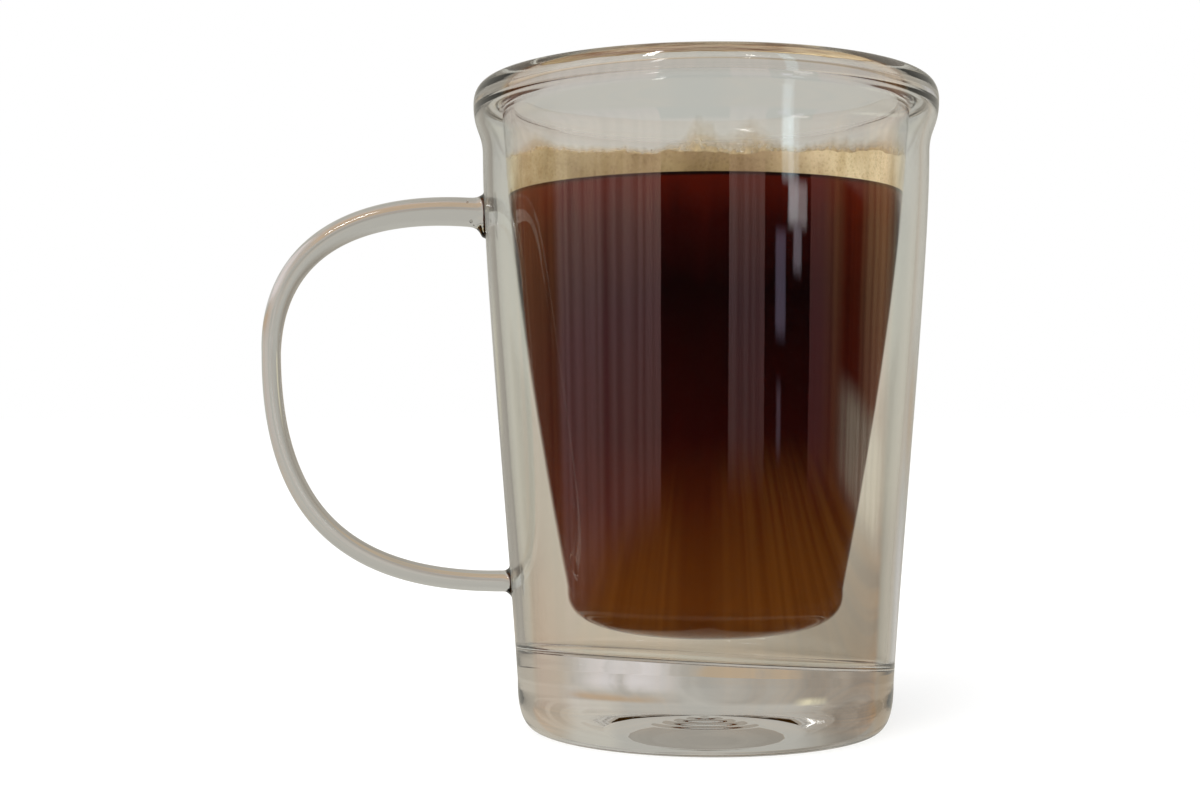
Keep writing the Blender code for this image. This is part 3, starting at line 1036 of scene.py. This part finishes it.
def below_rise(tree, rise_place, high, soft):
    """One below an elevation, soft over some degrees."""
    return soft_step(tree, rise_place, place_on_rise(high + soft / 2), place_on_rise(high - soft / 2))


def near_front(tree, round_place, degrees, soft):
    """One within some degrees of the front on either side, soft over some degrees."""
    return between(tree, round_place, place_on_circle(-degrees), place_on_circle(degrees), soft / 360)


def between_columns(tree, turned, columns, soft, radius=WAIST_RADIUS):
    """One where a round face mirrors between two columns of the photograph, soft over some columns."""
    start, end = [place_on_circle(mirrored_at(column, radius)) for column in columns]
    return between(tree, turned, start, end, soft * (end - start) / (columns[1] - columns[0]))


def seen_through_glass(tree, across, rise_place):
    """A pale room, greyer and browner low down on its right than on its left."""
    left = rise_ramp(tree, rise_place, ROOM_ON_LEFT)
    right = rise_ramp(tree, rise_place, ROOM_ON_RIGHT)
    return colour_mix(tree, soft_step(tree, across, 0.0, 0.15), left, right)


def seen_in_solid_glass(tree, coordinates, across, rise_place):
    """What the solid foot and rod gather: grey, darker on the right, with smears of white and of wood."""
    smears = add_node(tree, "TexNoise")
    set_inputs(smears, {"Scale": 5.0, "Detail": 3.0, "Distortion": 0.9})
    tree.links.new(coordinates.outputs["Generated"], smears.inputs["Vector"])
    darker = soft_step(tree, across, 0.10, -0.34)
    tone = colour_mix(tree, darker, (0.45, 0.435, 0.395), (0.30, 0.275, 0.235))
    mottle = ramp(tree, smears.outputs[0], ((0.35, grey(0.88)), (0.65, grey(1.12))))
    tone = colour_mix(tree, 1.0, tone, mottle, "MULTIPLY")
    level = both(
        tree,
        soft_step(tree, rise_place, place_on_rise(-1), place_on_rise(3)),
        soft_step(tree, across, -0.45, -0.20),
    )
    ahead = between(tree, across, -0.34, 0.34, 0.08)
    bright = colour_mix(tree, ahead, (0.54, 0.52, 0.46), (0.46, 0.45, 0.41))
    tone = colour_mix(tree, level, tone, bright)
    tone = colour_mix(tree, soft_step(tree, across, 0.50, 0.62), tone, (0.48, 0.43, 0.355))
    ragged = soft_step(tree, smears.outputs[0], 0.24, 0.52)
    for start, end, low, high, soft, smear in FOOT_SMEARS:
        patch = both(
            tree,
            between(tree, across, start, end, soft),
            between_rises(tree, rise_place, low, high, 2.7),
        )
        tone = colour_mix(tree, both(tree, patch, ragged), tone, smear)
    return colour_mix(tree, soft_step(tree, across, -0.62, -0.80), tone, (0.34, 0.25, 0.155))


def tabletop(tree, across, up, rise_place):
    """Warm wood, its grain running away from the mug, dark close by."""
    down = math_node(tree, "MAXIMUM", both(tree, up, -1), 0.02)
    lines = streaks_along(tree, math_node(tree, "DIVIDE", across, down), 2.6, 4.0)
    wood = ramp(tree, lines, ((0.38, (0.42, 0.15, 0.015)), (0.60, (0.98, 0.42, 0.07))))
    close_by = soft_step(tree, rise_place, place_on_rise(-20), place_on_rise(-40))
    return colour_mix(tree, close_by, wood, (0.12, 0.09, 0.06))


def mirrored_by_glass(tree, across_and_up, round_place, rise_place):
    """Upright bands in front: a dark middle, thin windows to its right, and a wooden table below."""
    narrower = rise_ramp(tree, rise_place, (
        (-15, grey(0.875)),
        (-8, grey(0.938)),
        (-2, grey(0.980)),
        (5, grey(1)),
    ))
    turned = math_node(tree, "SUBTRACT", round_place, 0.5)
    turned = math_node(tree, "MULTIPLY_ADD", turned, narrower, 0.5)
    bands = [(place_on_circle(mirrored_at(column)), tone) for column, tone in MIRRORED_BANDS]
    mirrored = ramp(tree, turned, bands)
    streaks = streaks_along(tree, turned, 90.0, 3.0)
    shade = ramp(tree, streaks, ((0.36, (0.74, 0.66, 0.66)), (0.56, grey(1.06))))
    mirrored = colour_mix(tree, 1.0, mirrored, shade, "MULTIPLY")
    gain = rise_ramp(tree, rise_place, (
        (-10, (0.80, 0.80, 0.70)),
        (-4, grey(1)),
        (1.5, (1.30, 1.50, 1.25)),
    ))
    mirrored = colour_mix(tree, 1.0, mirrored, gain, "MULTIPLY")
    over_coffee = between_rises(tree, rise_place, -17, 4.5, 2.5)
    darkness = math_node(tree, "MULTIPLY_ADD", over_coffee, 0.7, 0.3)
    for columns in DARK_STRIPES:
        stripe = between_columns(tree, turned, columns, 0.6)
        mirrored = colour_mix(tree, both(tree, stripe, darkness), mirrored, grey(0))
    for columns, low, high, glow in WINDOW_PANES:
        pane = between_columns(tree, turned, columns, 3)
        pane = both(tree, pane, between_rises(tree, rise_place, low, high, 1.2))
        mirrored = colour_mix(tree, pane, mirrored, glow)
    edge = math_node(tree, "MULTIPLY_ADD", round_place, TABLE_TILT, TABLE_EDGE - TABLE_TILT / 2)
    table = soft_step(tree, math_node(tree, "SUBTRACT", edge, rise_place), -0.010, 0.006)
    shaded_side = between_columns(tree, turned, SHADED_TABLE_COLUMNS, 26)
    wood = tabletop(tree, *across_and_up, rise_place)
    wood = colour_mix(tree, both(tree, shaded_side, 0.8), wood, (0.05, 0.01, 0.0))
    mirrored = colour_mix(tree, table, mirrored, wood)
    curtain = between_columns(tree, turned, CURTAIN_COLUMNS, 16)
    curtain = both(tree, curtain, between_rises(tree, rise_place, *CURTAIN_DEGREES, 1.6))
    folds = colour_mix(tree, 1.0, CURTAIN_TONE, shade, "MULTIPLY")
    mirrored = colour_mix(tree, curtain, mirrored, folds)
    return colour_mix(tree, between_columns(tree, turned, BANDED_COLUMNS, 12), WALL_TONE, mirrored)


def window_streak(tree, round_place, rise_place):
    """One where faces inside the glass mirror the window above the coffee."""
    beside = between_columns(tree, round_place, STREAK_COLUMNS, 2.46, VESSEL_TOP_RADIUS)
    return both(tree, beside, between_rises(tree, rise_place, *STREAK_DEGREES, 1.8))


def lip_glint(tree, round_place, rise_place):
    """One where the lip mirrors a bright lamp high in front."""
    beside = between_columns(tree, round_place, GLINT_COLUMNS, 1.49, LIP_RADIUS)
    return both(tree, beside, between_rises(tree, rise_place, *GLINT_DEGREES, 0.72))


def unlit_front(tree, round_place, rise_place, solid_only):
    """One where faces inside the glass mirror the dark front of the room."""
    above = soft_step(tree, rise_place, place_on_rise(-14), place_on_rise(-9))
    low_front = near_front(tree, round_place, 105, 14.4)
    high_front = near_front(tree, round_place, 128, 14.4)
    in_solid = colour_mix(tree, above, low_front, high_front)
    in_front = colour_mix(tree, solid_only, near_front(tree, round_place, 157, 14.4), in_solid)
    level = colour_mix(
        tree, near_front(tree, round_place, 95, 21.6),
        below_rise(tree, rise_place, 4.8, 1.8),
        below_rise(tree, rise_place, 0.6, 1.08),
    )
    level = colour_mix(tree, solid_only, level, below_rise(tree, rise_place, 5, 3.6))
    return both(tree, in_front, level)


def make_studio():
    """A white studio. What the glass shows depends on how the light went through it."""
    world = bpy.data.worlds.new("studio")
    bpy.context.scene.world = world
    world.use_nodes = True
    tree = world.node_tree
    background = tree.nodes["Background"]
    coordinates = add_node(tree, "TexCoord")
    across, away, up = parts_of(tree, coordinates.outputs["Generated"])
    azimuth = math_node(tree, "ARCTAN2", across, both(tree, away, -1))
    round_place = math_node(tree, "MULTIPLY_ADD", azimuth, 1 / (2 * math.pi), 0.5)
    elevation = math_node(tree, "ARCSINE", up)
    rise_place = math_node(tree, "MULTIPLY_ADD", elevation, 1 / math.pi, 0.5)
    path = add_node(tree, "LightPath")
    mirrorings = path.outputs["Glossy Depth"]
    passes = path.outputs["Transmission Depth"]
    solid_only = math_node(tree, "COMPARE", passes, 2, 0.5)
    over_back_lip = math_node(tree, "COMPARE", passes, 6, 0.5)
    one_mirroring = math_node(tree, "COMPARE", mirrorings, 1, 0.5)
    outside = both(tree, one_mirroring, math_node(tree, "LESS_THAN", passes, 0.5))
    inside = both(tree, one_mirroring, math_node(tree, "COMPARE", passes, 4, 2.5))
    twice = both(tree, solid_only, math_node(tree, "COMPARE", mirrorings, 2, 0.5))
    through = seen_through_glass(tree, across, rise_place)
    through = colour_mix(tree, over_back_lip, through, BACK_LIP_TONE)
    solid = seen_in_solid_glass(tree, coordinates, across, rise_place)
    colour = colour_mix(tree, solid_only, through, solid)
    colour = colour_mix(tree, both(tree, twice, 0.7), colour, TWICE_MIRRORED_TONE)
    unlit = both(tree, inside, unlit_front(tree, round_place, rise_place, solid_only))
    colour = colour_mix(tree, unlit, colour, UNLIT_TONE)
    streak = both(tree, inside, window_streak(tree, round_place, rise_place))
    colour = colour_mix(tree, streak, colour, STREAK_TONE)
    mirrored = mirrored_by_glass(tree, (across, up), round_place, rise_place)
    colour = colour_mix(tree, outside, colour, mirrored)
    glint = lip_glint(tree, round_place, rise_place)
    glint = both(tree, glint, math_node(tree, "GREATER_THAN", mirrorings, 0.5))
    colour = colour_mix(tree, glint, colour, GLINT_TONE)
    colour = colour_mix(tree, path.outputs["Is Camera Ray"], colour, STUDIO_WHITE)
    colour = colour_mix(tree, path.outputs["Is Diffuse Ray"], colour, SOFT_LIGHT)
    tree.links.new(colour, background.inputs["Color"])


def make_softbox():
    """A large soft lamp, high up on the left of the camera."""
    lamp = bpy.data.lights.new("softbox", "AREA")
    lamp.shape = "SQUARE"
    lamp.size = SOFTBOX_SIZE
    lamp.energy = SOFTBOX_POWER
    softbox = bpy.data.objects.new("softbox", lamp)
    place = Vector(SOFTBOX_PLACE)
    softbox.location = place
    aim = Vector((AXIS_X, 0, LIP_HEIGHT / 2)) - place
    softbox.rotation_euler = aim.to_track_quat("-Z", "Y").to_euler()
    softbox.visible_glossy = False
    softbox.visible_transmission = False
    bpy.context.scene.collection.objects.link(softbox)


def make_camera():
    """Level, looking along +Y, from the photograph's distance."""
    lens = bpy.data.cameras.new("camera")
    lens.sensor_width = SENSOR_WIDTH
    lens.lens = PIXELS_PER_MM / MM * CAMERA_DISTANCE / IMAGE_WIDTH * SENSOR_WIDTH
    lens.shift_y = (HORIZON_ROW - IMAGE_HEIGHT / 2) / IMAGE_WIDTH
    camera = bpy.data.objects.new("camera", lens)
    aside = (AXIS_COLUMN - IMAGE_WIDTH / 2) / PIXELS_PER_MM * MM
    camera.location = (AXIS_X - aside, -CAMERA_DISTANCE, CAMERA_HEIGHT)
    camera.rotation_euler = (math.pi / 2, 0, 0)
    bpy.context.scene.collection.objects.link(camera)
    bpy.context.scene.camera = camera


bpy.context.scene.view_settings.view_transform = "Standard"
make_camera()
make_studio()
make_softbox()
make_floor()
make_mug(clear_glass())
make_coffee(black_coffee())
make_crema(crema_foam())
make_film(foam_film())
make_bubbles(bubble_skin())
